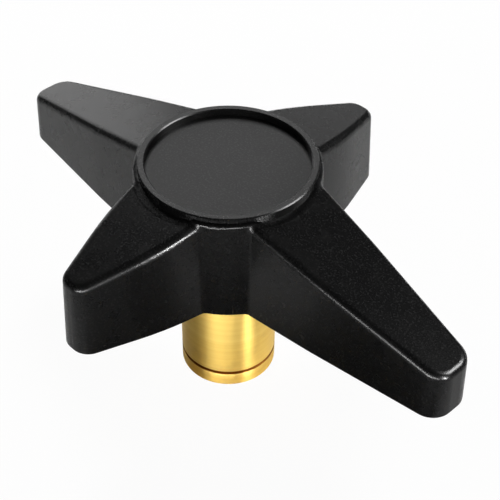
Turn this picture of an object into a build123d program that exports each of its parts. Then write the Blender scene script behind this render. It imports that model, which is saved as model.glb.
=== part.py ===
from build123d import *
import os

# Four-arm clamping knob: a black moulded body with two long and two short arms,
# on a turned brass bush whose blind thread opens downward.
# All lengths in mm. +Z is up along the bush, origin at the centre of the bush's
# lower face. The long arms lie along X, the short arms along Y.

# --- body ---
rim_z = 76.9                 # top of the raised round boss
boss_r = 25.0                # raised boss on top of the hub
boss_h = 1.5                 # boss above the hub's flat top
recess_r = 22.9              # shallow dish inside the boss rim
recess_depth = 2.1
rim_break = 0.3              # broken edges of the rim
body_h = 33.0                # boss rim down to the underside
hub_r = 26.9                 # hub wall at the underside
hub_draft = 1.5              # degrees, the walls narrow upward

long_tip = 83.6              # long arm: axis to end face, at the underside
long_axis_w = 16.9           # half width, carried on to the axis
long_tip_w = 6.95            # half width at the end face
long_knee_x = 44.0           # the sides turn in slightly from here
long_knee_w = 12.3           # half width there
long_corner = 6.0            # upright corner rounding at the end face
long_end_drop = 18.6         # top of the end face, below the boss rim
long_draft = 1.8             # degrees

short_tip = 57.2
short_axis_w = 17.9
short_tip_w = 4.6
short_knee_x = 34.0
short_knee_w = 12.6
short_corner = 5.4
short_end_drop = 10.35
short_draft = 2.5

knee_r = 100.0               # rounding of the sides at the turn
slope_start = 20.4           # the arm tops leave the hub's flat top here
slope_blend = 30.0           # rounding where the flat top turns into the slope
edge_r = 2.2                 # rolled top edge of the arms
hub_edge_r = 1.0             # rolled top edge of the hub between the arms
neck_r = 2.4                 # inner corner between an arm and the hub wall

# --- coring of the underside ---
wall = 3.6                   # side and end walls of the arms
roof = 4.2                   # thickness above the hollows
core_start = 22.4            # the solid hub ends here
core_corner = 1.5
rib_t = 2.6                  # cross rib in each long arm
rib_x = 51.0
rib_lift = 3.0               # lower edge of the rib above the underside

# --- brass bush ---
bush_r = 14.25
bush_top = 67.5              # upper end, buried in the body
bush_chamfer = 1.2           # outer edge at the lower end
groove_z = 6.2               # centre of the ring groove
groove_w = 0.9
groove_depth = 0.8
lock_sides = 12              # flats on the buried end, against turning
lock_apothem = 13.4
waist_low = 53.0             # waist between the flats, against pulling out
waist_high = 58.0
waist_r = 12.0
thread_minor_r = 6.92        # M16 x 2 thread, drawn as its minor bore
thread_major_r = 8.0
thread_depth = 40.0
mouth_lead = 0.4             # the countersink is this much wider than the thread
drill_tip = 4.0              # cone left by the drill

body_z = rim_z - body_h      # level of the underside
flat_z = rim_z - boss_h      # flat top of the hub
long_arm = (long_tip, long_axis_w, long_knee_x, long_knee_w, long_tip_w)
short_arm = (short_tip, short_axis_w, short_knee_x, short_knee_w, short_tip_w)
floor_z = rim_z - recess_depth
lock_low = body_z            # the flats begin at the underside, so the shank shoulders there
mouth_r = thread_major_r + mouth_lead
reach = 200.0                # larger than the whole knob


def half_width(x, tip, axis_w, knee_x, knee_w, tip_w):
    """Half width of an arm at the underside, at distance x from the axis."""
    if x < knee_x:
        return axis_w + (knee_w - axis_w) * x / knee_x
    return knee_w + (tip_w - knee_w) * (x - knee_x) / (tip - knee_x)


def arm_plan(tip, axis_w, knee_x, knee_w, tip_w):
    """Corners of two opposite arms seen from above, the arms along X."""
    right = [(0, -axis_w), (knee_x, -knee_w), (tip, -tip_w), (tip, tip_w), (knee_x, knee_w)]
    return right + [(-x, -y) for x, y in right]


def core_plan(*arm):
    """Corners of the hollow under one arm, one wall inside the arm's outline."""
    far_x = arm[0] - wall
    near_w = half_width(core_start, *arm) - wall
    far_w = half_width(far_x, *arm) - wall
    return [(core_start, -near_w), (far_x, -far_w), (far_x, far_w), (core_start, near_w)]


def roof_line(tip, end_drop, lower):
    """Side view of two opposite arms, flat over the hub and sloping to the tips."""
    fall = (end_drop - boss_h) / (tip - slope_start)
    far = tip + 20
    high = flat_z - lower
    low = high - fall * (far - slope_start)
    return [(-far, 0), (far, 0), (far, low), (slope_start, high), (-slope_start, high), (-far, low)]


# Two long arms in one bar through the axis.
with BuildPart() as long_arms:
    with BuildSketch(Plane.XY.offset(body_z)) as long_plan:
        with BuildLine():
            Polyline(arm_plan(*long_arm), close=True)
        make_face()
        fillet([v for v in long_plan.vertices() if abs(v.X) > long_tip - 1], long_corner)
        fillet([v for v in long_plan.vertices() if abs(abs(v.X) - long_knee_x) < 1], knee_r)
    extrude(amount=body_h, taper=long_draft)
    with BuildSketch(Plane.XZ) as long_side:
        with BuildLine():
            Polyline(roof_line(long_tip, long_end_drop, 0), close=True)
        make_face()
        fillet(long_side.vertices().sort_by(Axis.Y)[-2:], slope_blend)
    extrude(amount=reach, both=True, mode=Mode.INTERSECT)
    upper = long_arms.edges().filter_by(lambda e: e.bounding_box().min.Z > body_z + 1)
    fillet(upper.filter_by(lambda e: abs((e @ 0.5).Y) > 1 or abs((e @ 0.5).X) > slope_start + 5), edge_r)

# Two short arms, drawn along X and turned onto Y.
with BuildPart() as short_arms:
    with BuildSketch(Plane.XY.offset(body_z)) as short_plan:
        with BuildLine():
            Polyline(arm_plan(*short_arm), close=True)
        make_face()
        fillet([v for v in short_plan.vertices() if abs(v.X) > short_tip - 1], short_corner)
        fillet([v for v in short_plan.vertices() if abs(abs(v.X) - short_knee_x) < 1], knee_r)
    extrude(amount=body_h, taper=short_draft)
    with BuildSketch(Plane.XZ) as short_side:
        with BuildLine():
            Polyline(roof_line(short_tip, short_end_drop, 0), close=True)
        make_face()
        fillet(short_side.vertices().sort_by(Axis.Y)[-2:], slope_blend)
    extrude(amount=reach, both=True, mode=Mode.INTERSECT)
    upper = short_arms.edges().filter_by(lambda e: e.bounding_box().min.Z > body_z + 1)
    fillet(upper.filter_by(lambda e: abs((e @ 0.5).Y) > 1 or abs((e @ 0.5).X) > slope_start + 5), edge_r)

# Hub between the arms.
with BuildPart() as hub:
    with BuildSketch(Plane.XY.offset(body_z)):
        Circle(hub_r)
    extrude(amount=flat_z - body_z, taper=hub_draft)
    fillet(hub.faces().sort_by(Axis.Z)[-1].edges(), hub_edge_r)

# Hollow under one long arm, crossed by a rib.
with BuildPart() as long_core:
    with BuildSketch(Plane.XY.offset(body_z)) as long_hollow:
        with BuildLine():
            Polyline(core_plan(*long_arm), close=True)
        make_face()
        fillet(long_hollow.vertices(), core_corner)
    extrude(amount=body_h, taper=long_draft)
    with BuildSketch(Plane.XZ):
        with BuildLine():
            Polyline(roof_line(long_tip, long_end_drop, roof), close=True)
        make_face()
    extrude(amount=reach, both=True, mode=Mode.INTERSECT)
    with BuildSketch(Plane.XY.offset(body_z + rib_lift)):
        with Locations((rib_x, 0)):
            Rectangle(rib_t, reach)
    extrude(amount=body_h, mode=Mode.SUBTRACT)

# Hollow under one short arm.
with BuildPart() as short_core:
    with BuildSketch(Plane.XY.offset(body_z)) as short_hollow:
        with BuildLine():
            Polyline(core_plan(*short_arm), close=True)
        make_face()
        fillet(short_hollow.vertices(), core_corner)
    extrude(amount=body_h, taper=short_draft)
    with BuildSketch(Plane.XZ):
        with BuildLine():
            Polyline(roof_line(short_tip, short_end_drop, roof), close=True)
        make_face()
    extrude(amount=reach, both=True, mode=Mode.INTERSECT)

# Outside of the bush: round shank, then flats with a waist between them.
with BuildPart() as bush_form:
    Cylinder(bush_r, lock_low, align=(Align.CENTER, Align.CENTER, Align.MIN))
    with BuildSketch(Plane.XY.offset(lock_low)):
        RegularPolygon(lock_apothem, lock_sides, major_radius=False)
    extrude(amount=waist_low - lock_low)
    with BuildSketch(Plane.XY.offset(waist_low)):
        Circle(waist_r)
    extrude(amount=waist_high - waist_low)
    with BuildSketch(Plane.XY.offset(waist_high)):
        RegularPolygon(lock_apothem, lock_sides, major_radius=False)
    extrude(amount=bush_top - waist_high)

# Moulded body, formed around the bush.
with BuildPart() as body:
    add(long_arms.part)
    add(short_arms.part, rotation=(0, 0, 90))
    add(hub.part)
    inner_corners = body.edges().filter_by(
        lambda e: e.bounding_box().size.Z > body_h / 2 and (e @ 0.5 - Vector(0, 0, (e @ 0.5).Z)).length < hub_r + 1
    )
    fillet(inner_corners, neck_r)
    for turn in (0, 180):
        add(long_core.part, rotation=(0, 0, turn), mode=Mode.SUBTRACT)
    for turn in (90, 270):
        add(short_core.part, rotation=(0, 0, turn), mode=Mode.SUBTRACT)
    with BuildSketch(Plane.XY.offset(flat_z - 2 * boss_h)):
        Circle(boss_r)
    extrude(amount=3 * boss_h)
    with BuildSketch(Plane.XY.offset(floor_z)):
        Circle(recess_r)
    extrude(amount=recess_depth, mode=Mode.SUBTRACT)
    rim = body.edges().filter_by(GeomType.CIRCLE).group_by(Axis.Z)[-1]
    chamfer(rim, rim_break)
    add(bush_form.part, mode=Mode.SUBTRACT)

# Bush, bored from below.
with BuildPart() as bush:
    add(bush_form.part)
    chamfer(bush.faces().sort_by(Axis.Z)[0].edges(), bush_chamfer)
    with BuildSketch(Plane.XZ):
        with Locations((bush_r, groove_z)):
            Rectangle(2 * groove_depth, groove_w)
    revolve(axis=Axis.Z, mode=Mode.SUBTRACT)
    with BuildSketch(Plane.XZ):
        with BuildLine():
            Polyline(
                (0, 0),
                (mouth_r, 0),
                (thread_minor_r, mouth_r - thread_minor_r),
                (thread_minor_r, thread_depth),
                (0, thread_depth + drill_tip),
                close=True,
            )
        make_face()
    revolve(axis=Axis.Z, mode=Mode.SUBTRACT)

os.makedirs("parts", exist_ok=True)
body.part.label = "knob_body"
export_step(body.part, "parts/knob_body.step")
bush.part.label = "brass_bush"
export_step(bush.part, "parts/brass_bush.step")
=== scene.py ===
import math

import bpy
import numpy as np
from mathutils import Matrix, Vector


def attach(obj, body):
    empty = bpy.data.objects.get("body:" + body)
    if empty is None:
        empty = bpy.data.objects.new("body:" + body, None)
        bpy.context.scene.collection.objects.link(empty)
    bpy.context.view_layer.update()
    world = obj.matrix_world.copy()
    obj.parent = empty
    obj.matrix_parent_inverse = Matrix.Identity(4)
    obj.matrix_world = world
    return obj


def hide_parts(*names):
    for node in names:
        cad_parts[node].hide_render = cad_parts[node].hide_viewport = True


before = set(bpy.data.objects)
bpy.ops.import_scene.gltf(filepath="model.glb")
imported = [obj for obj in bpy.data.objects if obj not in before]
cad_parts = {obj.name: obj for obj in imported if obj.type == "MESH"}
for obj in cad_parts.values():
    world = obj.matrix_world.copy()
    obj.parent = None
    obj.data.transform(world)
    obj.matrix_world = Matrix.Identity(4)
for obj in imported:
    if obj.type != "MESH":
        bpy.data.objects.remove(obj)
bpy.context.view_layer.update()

# A black moulded star knob on a turned brass bush. Everything is in metres, in the
# frame of the CAD part: +Z up along the bush, the long arms along X, the short along Y.

MM = 0.001
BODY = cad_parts["knob_body"]

# --- camera ---
CAMERA_AZIMUTH = 46.749
CAMERA_ELEVATION = 40.32
CAMERA_DISTANCE = 0.35839
CAMERA_AIM = Vector((0.0, 0.0, 0.0619))
CAMERA_YAW = -0.968
CAMERA_PITCH = -2.180
CAMERA_ROLL = 0.049
CAMERA_LENS = 92.085         # mm, on a sensor 36 mm wide

# --- floor ---
FLOOR_HALF = 4.0
FLOOR_Z = -0.0002            # just under the bush
FLOOR_GLOW = 0.965           # share of plain white that the camera sees on it

# --- bush, in millimetres, as in the CAD part ---
BUSH_R = 14.25
BUSH_CHAMFER = 1.2
GROOVE_Z = 6.2
GROOVE_W = 0.9
GROOVE_DEPTH = 0.8
SEAT_Z = 43.9
WAIST_LOW = 53.0
WAIST_HIGH = 58.0
WAIST_R = 12.0
BUSH_TOP = 67.5
LOCK_SIDES = 12
LOCK_APOTHEM = 13.4
THREAD_MINOR_R = 6.92
THREAD_MAJOR_R = 8.0
THREAD_PITCH = 2.0
THREAD_DEPTH = 40.0
DRILL_TIP = 4.0
MOUTH_R = 8.4                # countersunk mouth of the bore
THREAD_STEPS = 9             # rings of points a turn of the thread
SHARP_DEGREES = 32
ROUND = 192                  # points round the bush

# --- arm tops next to the boss, in millimetres, as in the CAD part ---
FLAT_Z = 75.4                # the hub's flat top
BOSS_R = 25.0
HUB_R = 26.9
SLOPE_START = 20.4
SLOPE_BLEND = 30.0
# fall of the slope, its run, half width of the arm's top on the axis and its taper
LONG_ARM = (17.1, 63.2, 15.9, 0.105)
SHORT_ARM = (8.85, 36.8, 16.5, 0.156)
EDGE_R = 2.2
SHOULDER_FROM = SLOPE_START - 6.0   # the lowered strips lie beyond this distance along an arm
NEAR = 0.02                  # points this close to a surface count as on it


def add_node(tree, kind, **inputs):
    """A shader node with its inputs set by name; spaces in a name are written as _."""
    node = tree.nodes.new(kind)
    for key, value in inputs.items():
        name = key.replace("_", " ")
        if name in node.inputs:
            node.inputs[name].default_value = value
        else:
            setattr(node, key, value)
    return node


def new_material(name):
    material = bpy.data.materials.new(name)
    material.use_nodes = True
    material.node_tree.nodes.clear()
    return material, material.node_tree


def maths(tree, operation, a, b=None):
    """A Math node on sockets or plain numbers; returns its output."""
    node = tree.nodes.new("ShaderNodeMath")
    node.operation = operation
    for i, value in enumerate((a, b)):
        if value is None:
            continue
        if isinstance(value, bpy.types.NodeSocket):
            tree.links.new(value, node.inputs[i])
        else:
            node.inputs[i].default_value = value
    return node.outputs[0]


def remap(tree, value, from_min, from_max, to_min, to_max, smooth=False):
    node = tree.nodes.new("ShaderNodeMapRange")
    node.interpolation_type = "SMOOTHSTEP" if smooth else "LINEAR"
    node.clamp = True
    tree.links.new(value, node.inputs["Value"])
    node.inputs["From Min"].default_value = from_min
    node.inputs["From Max"].default_value = from_max
    node.inputs["To Min"].default_value = to_min
    node.inputs["To Max"].default_value = to_max
    return node.outputs["Result"]


def radius_and_height(tree, coords):
    """Distance from the bush's axis, and height, as two outputs."""
    split = tree.nodes.new("ShaderNodeSeparateXYZ")
    tree.links.new(coords, split.inputs[0])
    x, y, z = split.outputs
    squares = maths(tree, "ADD", maths(tree, "MULTIPLY", x, x), maths(tree, "MULTIPLY", y, y))
    return maths(tree, "SQRT", squares), z


def noise(tree, vector, scale, detail=2.0, roughness=0.5):
    node = add_node(tree, "ShaderNodeTexNoise", Scale=scale, Detail=detail, Roughness=roughness)
    tree.links.new(vector, node.inputs["Vector"])
    return node.outputs["Fac"]


def mix_colour(tree, fac, a, b):
    node = tree.nodes.new("ShaderNodeMix")
    node.data_type = "RGBA"
    tree.links.new(fac, node.inputs["Factor"])
    for socket, value in ((node.inputs[6], a), (node.inputs[7], b)):
        if isinstance(value, bpy.types.NodeSocket):
            tree.links.new(value, socket)
        else:
            socket.default_value = (*value, 1.0)
    return node.outputs[2]


def stretched(tree, coords, scale):
    node = tree.nodes.new("ShaderNodeMapping")
    node.inputs["Scale"].default_value = scale
    tree.links.new(coords, node.inputs["Vector"])
    return node.outputs[0]


def bump(tree, height, distance, strength=1.0, normal=None):
    node = add_node(tree, "ShaderNodeBump", Strength=strength, Distance=distance)
    tree.links.new(height, node.inputs["Height"])
    if normal is not None:
        tree.links.new(normal, node.inputs["Normal"])
    return node.outputs["Normal"]


def finish_surface(tree, shader):
    out = tree.nodes.new("ShaderNodeOutputMaterial")
    tree.links.new(shader.outputs[0], out.inputs["Surface"])


def black_plastic():
    """Moulded black nylon: a fine grain with paler peaks, slow mottling, a duller dish."""
    material, tree = new_material("black_plastic")
    coords = tree.nodes.new("ShaderNodeTexCoord").outputs["Object"]
    radius, z = radius_and_height(tree, coords)
    in_dish = maths(
        tree, "MULTIPLY",
        remap(tree, radius, 0.0226, 0.0230, 1.0, 0.0),
        remap(tree, z, 0.0746, 0.0747, 0.0, 1.0),
    )

    mottle = noise(tree, coords, 160.0, 4.0, 0.6)
    cloud = noise(tree, coords, 28.0, 3.0, 0.55)
    grain = noise(tree, coords, 1900.0, 1.0, 0.5)
    tone = maths(tree, "ADD", maths(tree, "MULTIPLY", mottle, 0.5), maths(tree, "MULTIPLY", cloud, 0.5))
    colour = mix_colour(
        tree, remap(tree, tone, 0.35, 0.65, 0.0, 1.0), (0.0035, 0.0035, 0.0038), (0.0055, 0.0055, 0.0055)
    )
    dish_colour = mix_colour(
        tree, remap(tree, mottle, 0.35, 0.65, 0.0, 1.0), (0.0045, 0.0045, 0.0048), (0.0075, 0.0075, 0.0075)
    )
    shader = tree.nodes.new("ShaderNodeBsdfPrincipled")
    worn = mix_colour(tree, in_dish, colour, dish_colour)
    peaks = remap(tree, grain, 0.52, 0.74, 0.0, 1.0)
    tree.links.new(mix_colour(tree, peaks, worn, (0.024, 0.024, 0.024)), shader.inputs["Base Color"])
    duller = maths(tree, "MULTIPLY", in_dish, 0.08)
    rough = maths(tree, "ADD", remap(tree, tone, 0.3, 0.7, 0.24, 0.30), duller)
    tree.links.new(rough, shader.inputs["Roughness"])
    shader.inputs["IOR"].default_value = 1.5
    shader.inputs["Specular IOR Level"].default_value = 0.29
    surface = bump(tree, cloud, 0.00020, 0.12)
    surface = bump(tree, grain, 0.00002, 1.0, surface)
    tree.links.new(surface, shader.inputs["Normal"])
    finish_surface(tree, shader)
    return material


def turned_brass():
    """Brass bar, fine turned: rings and wider bands round the axis, a slight tarnish, and the groove's
    floor painted dark brown as painted shade.
    """
    material, tree = new_material("turned_brass")
    coords = tree.nodes.new("ShaderNodeTexCoord").outputs["Object"]
    rings = noise(tree, stretched(tree, coords, (0.4, 0.4, 2600.0)), 1.0, 3.0, 0.7)
    bands = noise(tree, stretched(tree, coords, (0.6, 0.6, 420.0)), 1.0, 2.0, 0.6)
    tarnish = noise(tree, coords, 70.0, 4.0, 0.6)

    radius, z = radius_and_height(tree, coords)
    # Painted shade: the floor of the groove is painted dark brown so that the recess reads deeper.
    off_groove = maths(tree, "ABSOLUTE", maths(tree, "SUBTRACT", z, GROOVE_Z * MM))
    groove_painted_shade = maths(
        tree, "MULTIPLY",
        remap(tree, off_groove, 0.00054, 0.00070, 1.0, 0.0),
        remap(tree, radius, 0.0125, 0.0130, 0.0, 1.0),
    )

    shader = tree.nodes.new("ShaderNodeBsdfPrincipled")
    shader.inputs["Metallic"].default_value = 0.85
    warm = mix_colour(
        tree, remap(tree, bands, 0.35, 0.65, 0.0, 1.0), (0.88, 0.60, 0.14), (0.96, 0.70, 0.20)
    )
    aged = mix_colour(tree, remap(tree, tarnish, 0.52, 0.72, 0.0, 0.5), warm, (0.56, 0.35, 0.09))
    tree.links.new(
        # Painted shade in the groove: dark brown mixed in where the groove mask is set.
        mix_colour(tree, groove_painted_shade, aged, (0.26, 0.085, 0.006)), shader.inputs["Base Color"]
    )
    tree.links.new(remap(tree, rings, 0.3, 0.7, 0.36, 0.48), shader.inputs["Roughness"])
    shader.inputs["Anisotropic"].default_value = 0.8
    shader.inputs["Anisotropic Rotation"].default_value = 0.25
    tangent = tree.nodes.new("ShaderNodeTangent")
    tangent.direction_type = "RADIAL"
    tangent.axis = "Z"
    tree.links.new(tangent.outputs[0], shader.inputs["Tangent"])
    tree.links.new(bump(tree, rings, 0.00001, 0.5), shader.inputs["Normal"])
    finish_surface(tree, shader)
    return material


def dress(obj, material):
    obj.data.materials.clear()
    obj.data.materials.append(material)


def lock_radius(angle):
    """Radius of the twelve flats at this angle, in mm."""
    step = 2 * math.pi / LOCK_SIDES
    return LOCK_APOTHEM / math.cos((angle % step) - step / 2)


def outer_rings():
    """(height, radius or None for the twelve flats) from the mouth's edge to the top, in mm."""
    yield 0.0, BUSH_R - BUSH_CHAMFER
    yield 0.12, BUSH_R - BUSH_CHAMFER + 0.16
    yield BUSH_CHAMFER - 0.12, BUSH_R - 0.16
    yield BUSH_CHAMFER, BUSH_R - 0.06
    yield BUSH_CHAMFER + 0.15, BUSH_R
    low, high = GROOVE_Z - GROOVE_W / 2, GROOVE_Z + GROOVE_W / 2
    floor_r = BUSH_R - GROOVE_DEPTH
    yield low - 0.15, BUSH_R
    yield low - 0.04, BUSH_R - 0.03
    yield low, BUSH_R - 0.14
    yield low + 0.02, floor_r + 0.12
    yield low + 0.12, floor_r
    yield high - 0.12, floor_r
    yield high - 0.02, floor_r + 0.12
    yield high, BUSH_R - 0.14
    yield high + 0.04, BUSH_R - 0.03
    yield high + 0.15, BUSH_R
    yield SEAT_Z - 0.1, BUSH_R
    yield SEAT_Z, BUSH_R - 0.02
    yield SEAT_Z + 0.01, None
    yield WAIST_LOW, None
    yield WAIST_LOW + 0.01, WAIST_R
    yield WAIST_HIGH, WAIST_R
    yield WAIST_HIGH + 0.01, None
    yield BUSH_TOP, None


def thread_rings():
    """(height, how much of the thread's full depth) up the bore, in mm."""
    count = int(THREAD_DEPTH / THREAD_PITCH * THREAD_STEPS)
    for i in range(1, count + 1):
        height = i * THREAD_PITCH / THREAD_STEPS
        fade_in = min(1.0, max(0.0, (height - 0.2) / 1.2))
        fade_out = min(1.0, max(0.0, (THREAD_DEPTH - 1.5 - height) / 2.0))
        yield height, min(fade_in, fade_out)


def thread_depth(angle, height):
    """How far the internal thread cuts outward here: flat crest, sloped flanks, flat root."""
    turn = (height / THREAD_PITCH - angle / (2 * math.pi)) % 1.0
    flank = abs(turn - 0.5) * 2.0
    return (THREAD_MAJOR_R - THREAD_MINOR_R) * min(1.0, max(0.0, (flank - 0.20) / 0.62))


def arm_roof(along, fall, run):
    """Height of an arm's top and its slope, at distances along the arm, in mm."""
    angle = math.atan(fall / run)
    reach = SLOPE_BLEND * math.tan(angle / 2)
    into = np.clip(along - (SLOPE_START - reach), 0.0, None)
    curved = SLOPE_BLEND - np.sqrt(np.clip(SLOPE_BLEND**2 - into**2, 0.0, None))
    straight = (along - SLOPE_START) * math.tan(angle)
    on_curve = into < SLOPE_BLEND * math.sin(angle)
    height = FLAT_Z - np.where(on_curve, curved, straight)
    return height, np.where(on_curve, into / SLOPE_BLEND, math.sin(angle))


def make_body():
    """The moulded body, with each arm's top carried on to the foot of the boss."""
    mesh = BODY.data.copy()
    mesh.name = "body_moulded"
    count = len(mesh.vertices)
    points = np.empty(count * 3)
    mesh.vertices.foreach_get("co", points)
    points = points.reshape(-1, 3) / MM
    normals = np.empty(len(mesh.loops) * 3)
    mesh.corner_normals.foreach_get("vector", normals)
    normals = normals.reshape(-1, 3)
    corner = np.empty(len(mesh.loops), int)
    mesh.loops.foreach_get("vertex_index", corner)
    radius = np.hypot(points[:, 0], points[:, 1])
    shoulder = (radius > BOSS_R - 0.05) & (radius < HUB_R + 0.2) & (points[:, 2] < FLAT_Z + NEAR)
    for axis, (fall, run, half, taper) in ((0, LONG_ARM), (1, SHORT_ARM)):
        along, across = np.abs(points[:, axis]), np.abs(points[:, 1 - axis])
        height, slope = arm_roof(along, fall, run)
        inside = across < half - taper * along - EDGE_R
        proud = shoulder & inside & (along > SHOULDER_FROM) & (points[:, 2] > height - NEAR)
        up = proud[corner] & (normals[:, 2] > 0.3)
        points[proud, 2] = height[proud]
        side = np.sign(points[corner, axis])
        normals[up, axis] = (side * slope[corner])[up]
        normals[up, 1 - axis] = 0.0
        normals[up, 2] = np.sqrt(1.0 - slope[corner][up] ** 2)
    mesh.vertices.foreach_set("co", (points * MM).ravel())
    mesh.update()
    mesh.normals_split_custom_set(normals.tolist())
    obj = bpy.data.objects.new("body_moulded", mesh)
    bpy.context.scene.collection.objects.link(obj)
    return obj


def make_bush():
    """The bush as one closed turned mesh with its internal thread as geometry."""
    rings = []
    angles = [2 * math.pi * i / ROUND for i in range(ROUND)]

    def ring(radius_at, height):
        rings.append([
            (radius_at(a) * math.cos(a) * MM, radius_at(a) * math.sin(a) * MM, height * MM)
            for a in angles
        ])

    for height, share in reversed(list(thread_rings())):
        ring(lambda a, h=height, s=share: THREAD_MINOR_R + s * thread_depth(a, h), height)
    ring(lambda a: MOUTH_R, 0.0)
    for height, radius in outer_rings():
        ring(lambda a, r=radius: lock_radius(a) if r is None else r, height)

    verts = [p for r in rings for p in r]
    faces = []
    for k in range(len(rings) - 1):
        for i in range(ROUND):
            j = (i + 1) % ROUND
            faces.append((k * ROUND + i, k * ROUND + j, (k + 1) * ROUND + j, (k + 1) * ROUND + i))
    tip = len(verts)
    verts.append((0.0, 0.0, (THREAD_DEPTH + DRILL_TIP) * MM))
    top = len(verts)
    verts.append((0.0, 0.0, BUSH_TOP * MM))
    last = (len(rings) - 1) * ROUND
    for i in range(ROUND):
        j = (i + 1) % ROUND
        faces.append((tip, j, i))
        faces.append((top, last + i, last + j))
    mesh = bpy.data.meshes.new("bush_turned")
    mesh.from_pydata(verts, [], faces)
    mesh.validate()
    mesh.shade_smooth()
    obj = bpy.data.objects.new("bush_turned", mesh)
    bpy.context.scene.collection.objects.link(obj)
    mesh.set_sharp_from_angle(angle=math.radians(SHARP_DEGREES))
    return obj


# --- camera ---
def aim_camera():
    azimuth, elevation = math.radians(CAMERA_AZIMUTH), math.radians(CAMERA_ELEVATION)
    back = Vector((
        math.sin(azimuth) * math.cos(elevation),
        -math.cos(azimuth) * math.cos(elevation),
        math.sin(elevation),
    ))
    forward = -back
    right = forward.cross(Vector((0, 0, 1))).normalized()
    up = right.cross(forward)
    turn = Matrix.Rotation(math.radians(CAMERA_YAW), 3, up)
    forward, right = turn @ forward, turn @ right
    turn = Matrix.Rotation(math.radians(CAMERA_PITCH), 3, right)
    forward, up = turn @ forward, turn @ up
    turn = Matrix.Rotation(math.radians(CAMERA_ROLL), 3, forward)
    right, up = turn @ right, turn @ up
    pose = Matrix((right, up, -forward)).transposed().to_4x4()
    pose.translation = CAMERA_AIM + back * CAMERA_DISTANCE
    data = bpy.data.cameras.new("camera")
    data.lens = CAMERA_LENS
    data.sensor_width = 36.0
    data.clip_start, data.clip_end = 0.01, 20.0
    camera = bpy.data.objects.new("camera", data)
    bpy.context.scene.collection.objects.link(camera)
    camera.matrix_world = pose
    bpy.context.scene.camera = camera


def panel(name, azimuth, elevation, distance, width, height, watts):
    """A soft box round the object: azimuth as the camera's, in degrees."""
    data = bpy.data.lights.new(name, "AREA")
    data.shape = "RECTANGLE"
    data.size, data.size_y = width, height
    data.energy = watts
    a, e = math.radians(azimuth), math.radians(elevation)
    back = Vector((math.sin(a) * math.cos(e), -math.cos(a) * math.cos(e), math.sin(e)))
    light = bpy.data.objects.new(name, data)
    bpy.context.scene.collection.objects.link(light)
    light.location = Vector((0, 0, 0.05)) + back * distance
    light.rotation_mode = "QUATERNION"
    light.rotation_quaternion = (-back).to_track_quat("-Z", "Y")
    return light


def studio():
    """A pale floor, a white surround for camera and transmission rays but dim for other rays, and soft
    boxes.
    """
    world = bpy.data.worlds.new("studio")
    bpy.context.scene.world = world
    world.use_nodes = True
    tree = world.node_tree
    tree.nodes.clear()
    path = tree.nodes.new("ShaderNodeLightPath")
    shown = maths(tree, "MAXIMUM", path.outputs["Is Camera Ray"], path.outputs["Is Transmission Ray"])
    coords = tree.nodes.new("ShaderNodeTexCoord").outputs["Generated"]
    split = tree.nodes.new("ShaderNodeSeparateXYZ")
    tree.links.new(coords, split.inputs[0])
    low = remap(tree, split.outputs[2], 0.10, 0.60, 0.10, 0.05, smooth=True)
    level = maths(tree, "MAXIMUM", shown, low)
    back = add_node(tree, "ShaderNodeBackground", Color=(1, 1, 1, 1))
    tree.links.new(level, back.inputs["Strength"])
    out = tree.nodes.new("ShaderNodeOutputWorld")
    tree.links.new(back.outputs[0], out.inputs["Surface"])

    material, tree = new_material("pale_floor")
    path = tree.nodes.new("ShaderNodeLightPath")
    seen = path.outputs["Is Camera Ray"]
    coords = tree.nodes.new("ShaderNodeTexCoord").outputs["Object"]
    tone = remap(tree, noise(tree, coords, 9.0, 3.0), 0.3, 0.7, 0.0, 1.0)
    lit = tree.nodes.new("ShaderNodeBsdfDiffuse")
    tree.links.new(mix_colour(tree, tone, (0.80, 0.80, 0.80), (0.83, 0.83, 0.83)), lit.inputs["Color"])
    glow = add_node(tree, "ShaderNodeEmission", Color=(1, 1, 1, 1), Strength=1.0)
    blend = tree.nodes.new("ShaderNodeMixShader")
    tree.links.new(maths(tree, "MULTIPLY", seen, FLOOR_GLOW), blend.inputs[0])
    tree.links.new(lit.outputs[0], blend.inputs[1])
    tree.links.new(glow.outputs[0], blend.inputs[2])
    clear = tree.nodes.new("ShaderNodeBsdfTransparent")
    below = tree.nodes.new("ShaderNodeMixShader")
    tree.links.new(tree.nodes.new("ShaderNodeNewGeometry").outputs["Backfacing"], below.inputs[0])
    tree.links.new(blend.outputs[0], below.inputs[1])
    tree.links.new(clear.outputs[0], below.inputs[2])
    finish_surface(tree, below)

    mesh = bpy.data.meshes.new("floor")
    corners = [(-1, -1), (1, -1), (1, 1), (-1, 1)]
    mesh.from_pydata([(x * FLOOR_HALF, y * FLOOR_HALF, FLOOR_Z) for x, y in corners], [], [(0, 1, 2, 3)])
    floor = bpy.data.objects.new("floor", mesh)
    bpy.context.scene.collection.objects.link(floor)
    dress(floor, material)

    azimuth = CAMERA_AZIMUTH
    reflectors = (
        panel("box_back", azimuth + 187, 42, 1.0, 0.5, 0.45, 1.5),
        panel("box_back_left", azimuth + 206, 12, 0.9, 0.45, 0.35, 0.78),
        panel("box_back_right", azimuth + 167, 15, 0.9, 0.30, 0.25, 0.17),
        panel("box_right", azimuth + 84, 38, 0.8, 0.34, 0.30, 9.0),
        panel("box_front_right", azimuth + 40, 7, 0.7, 0.05, 0.22, 6.4),
        panel("box_front", azimuth - 15, 5, 0.7, 0.80, 0.14, 8.0),
        panel("box_front_left", azimuth - 22, 4, 0.7, 0.05, 0.14, 0.8),
    )
    for light in reflectors:
        light.visible_diffuse = False
    key = panel("key", azimuth + 180, 48, 0.9, 0.22, 0.22, 8.0)
    key.visible_glossy = False


aim_camera()
studio()

plastic = black_plastic()
brass = turned_brass()

body = make_body()
dress(body, plastic)
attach(body, "root")
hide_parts("knob_body")

bush = make_bush()
dress(bush, brass)
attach(bush, "root")
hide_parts("brass_bush")

bpy.context.scene.view_settings.view_transform = "Standard"
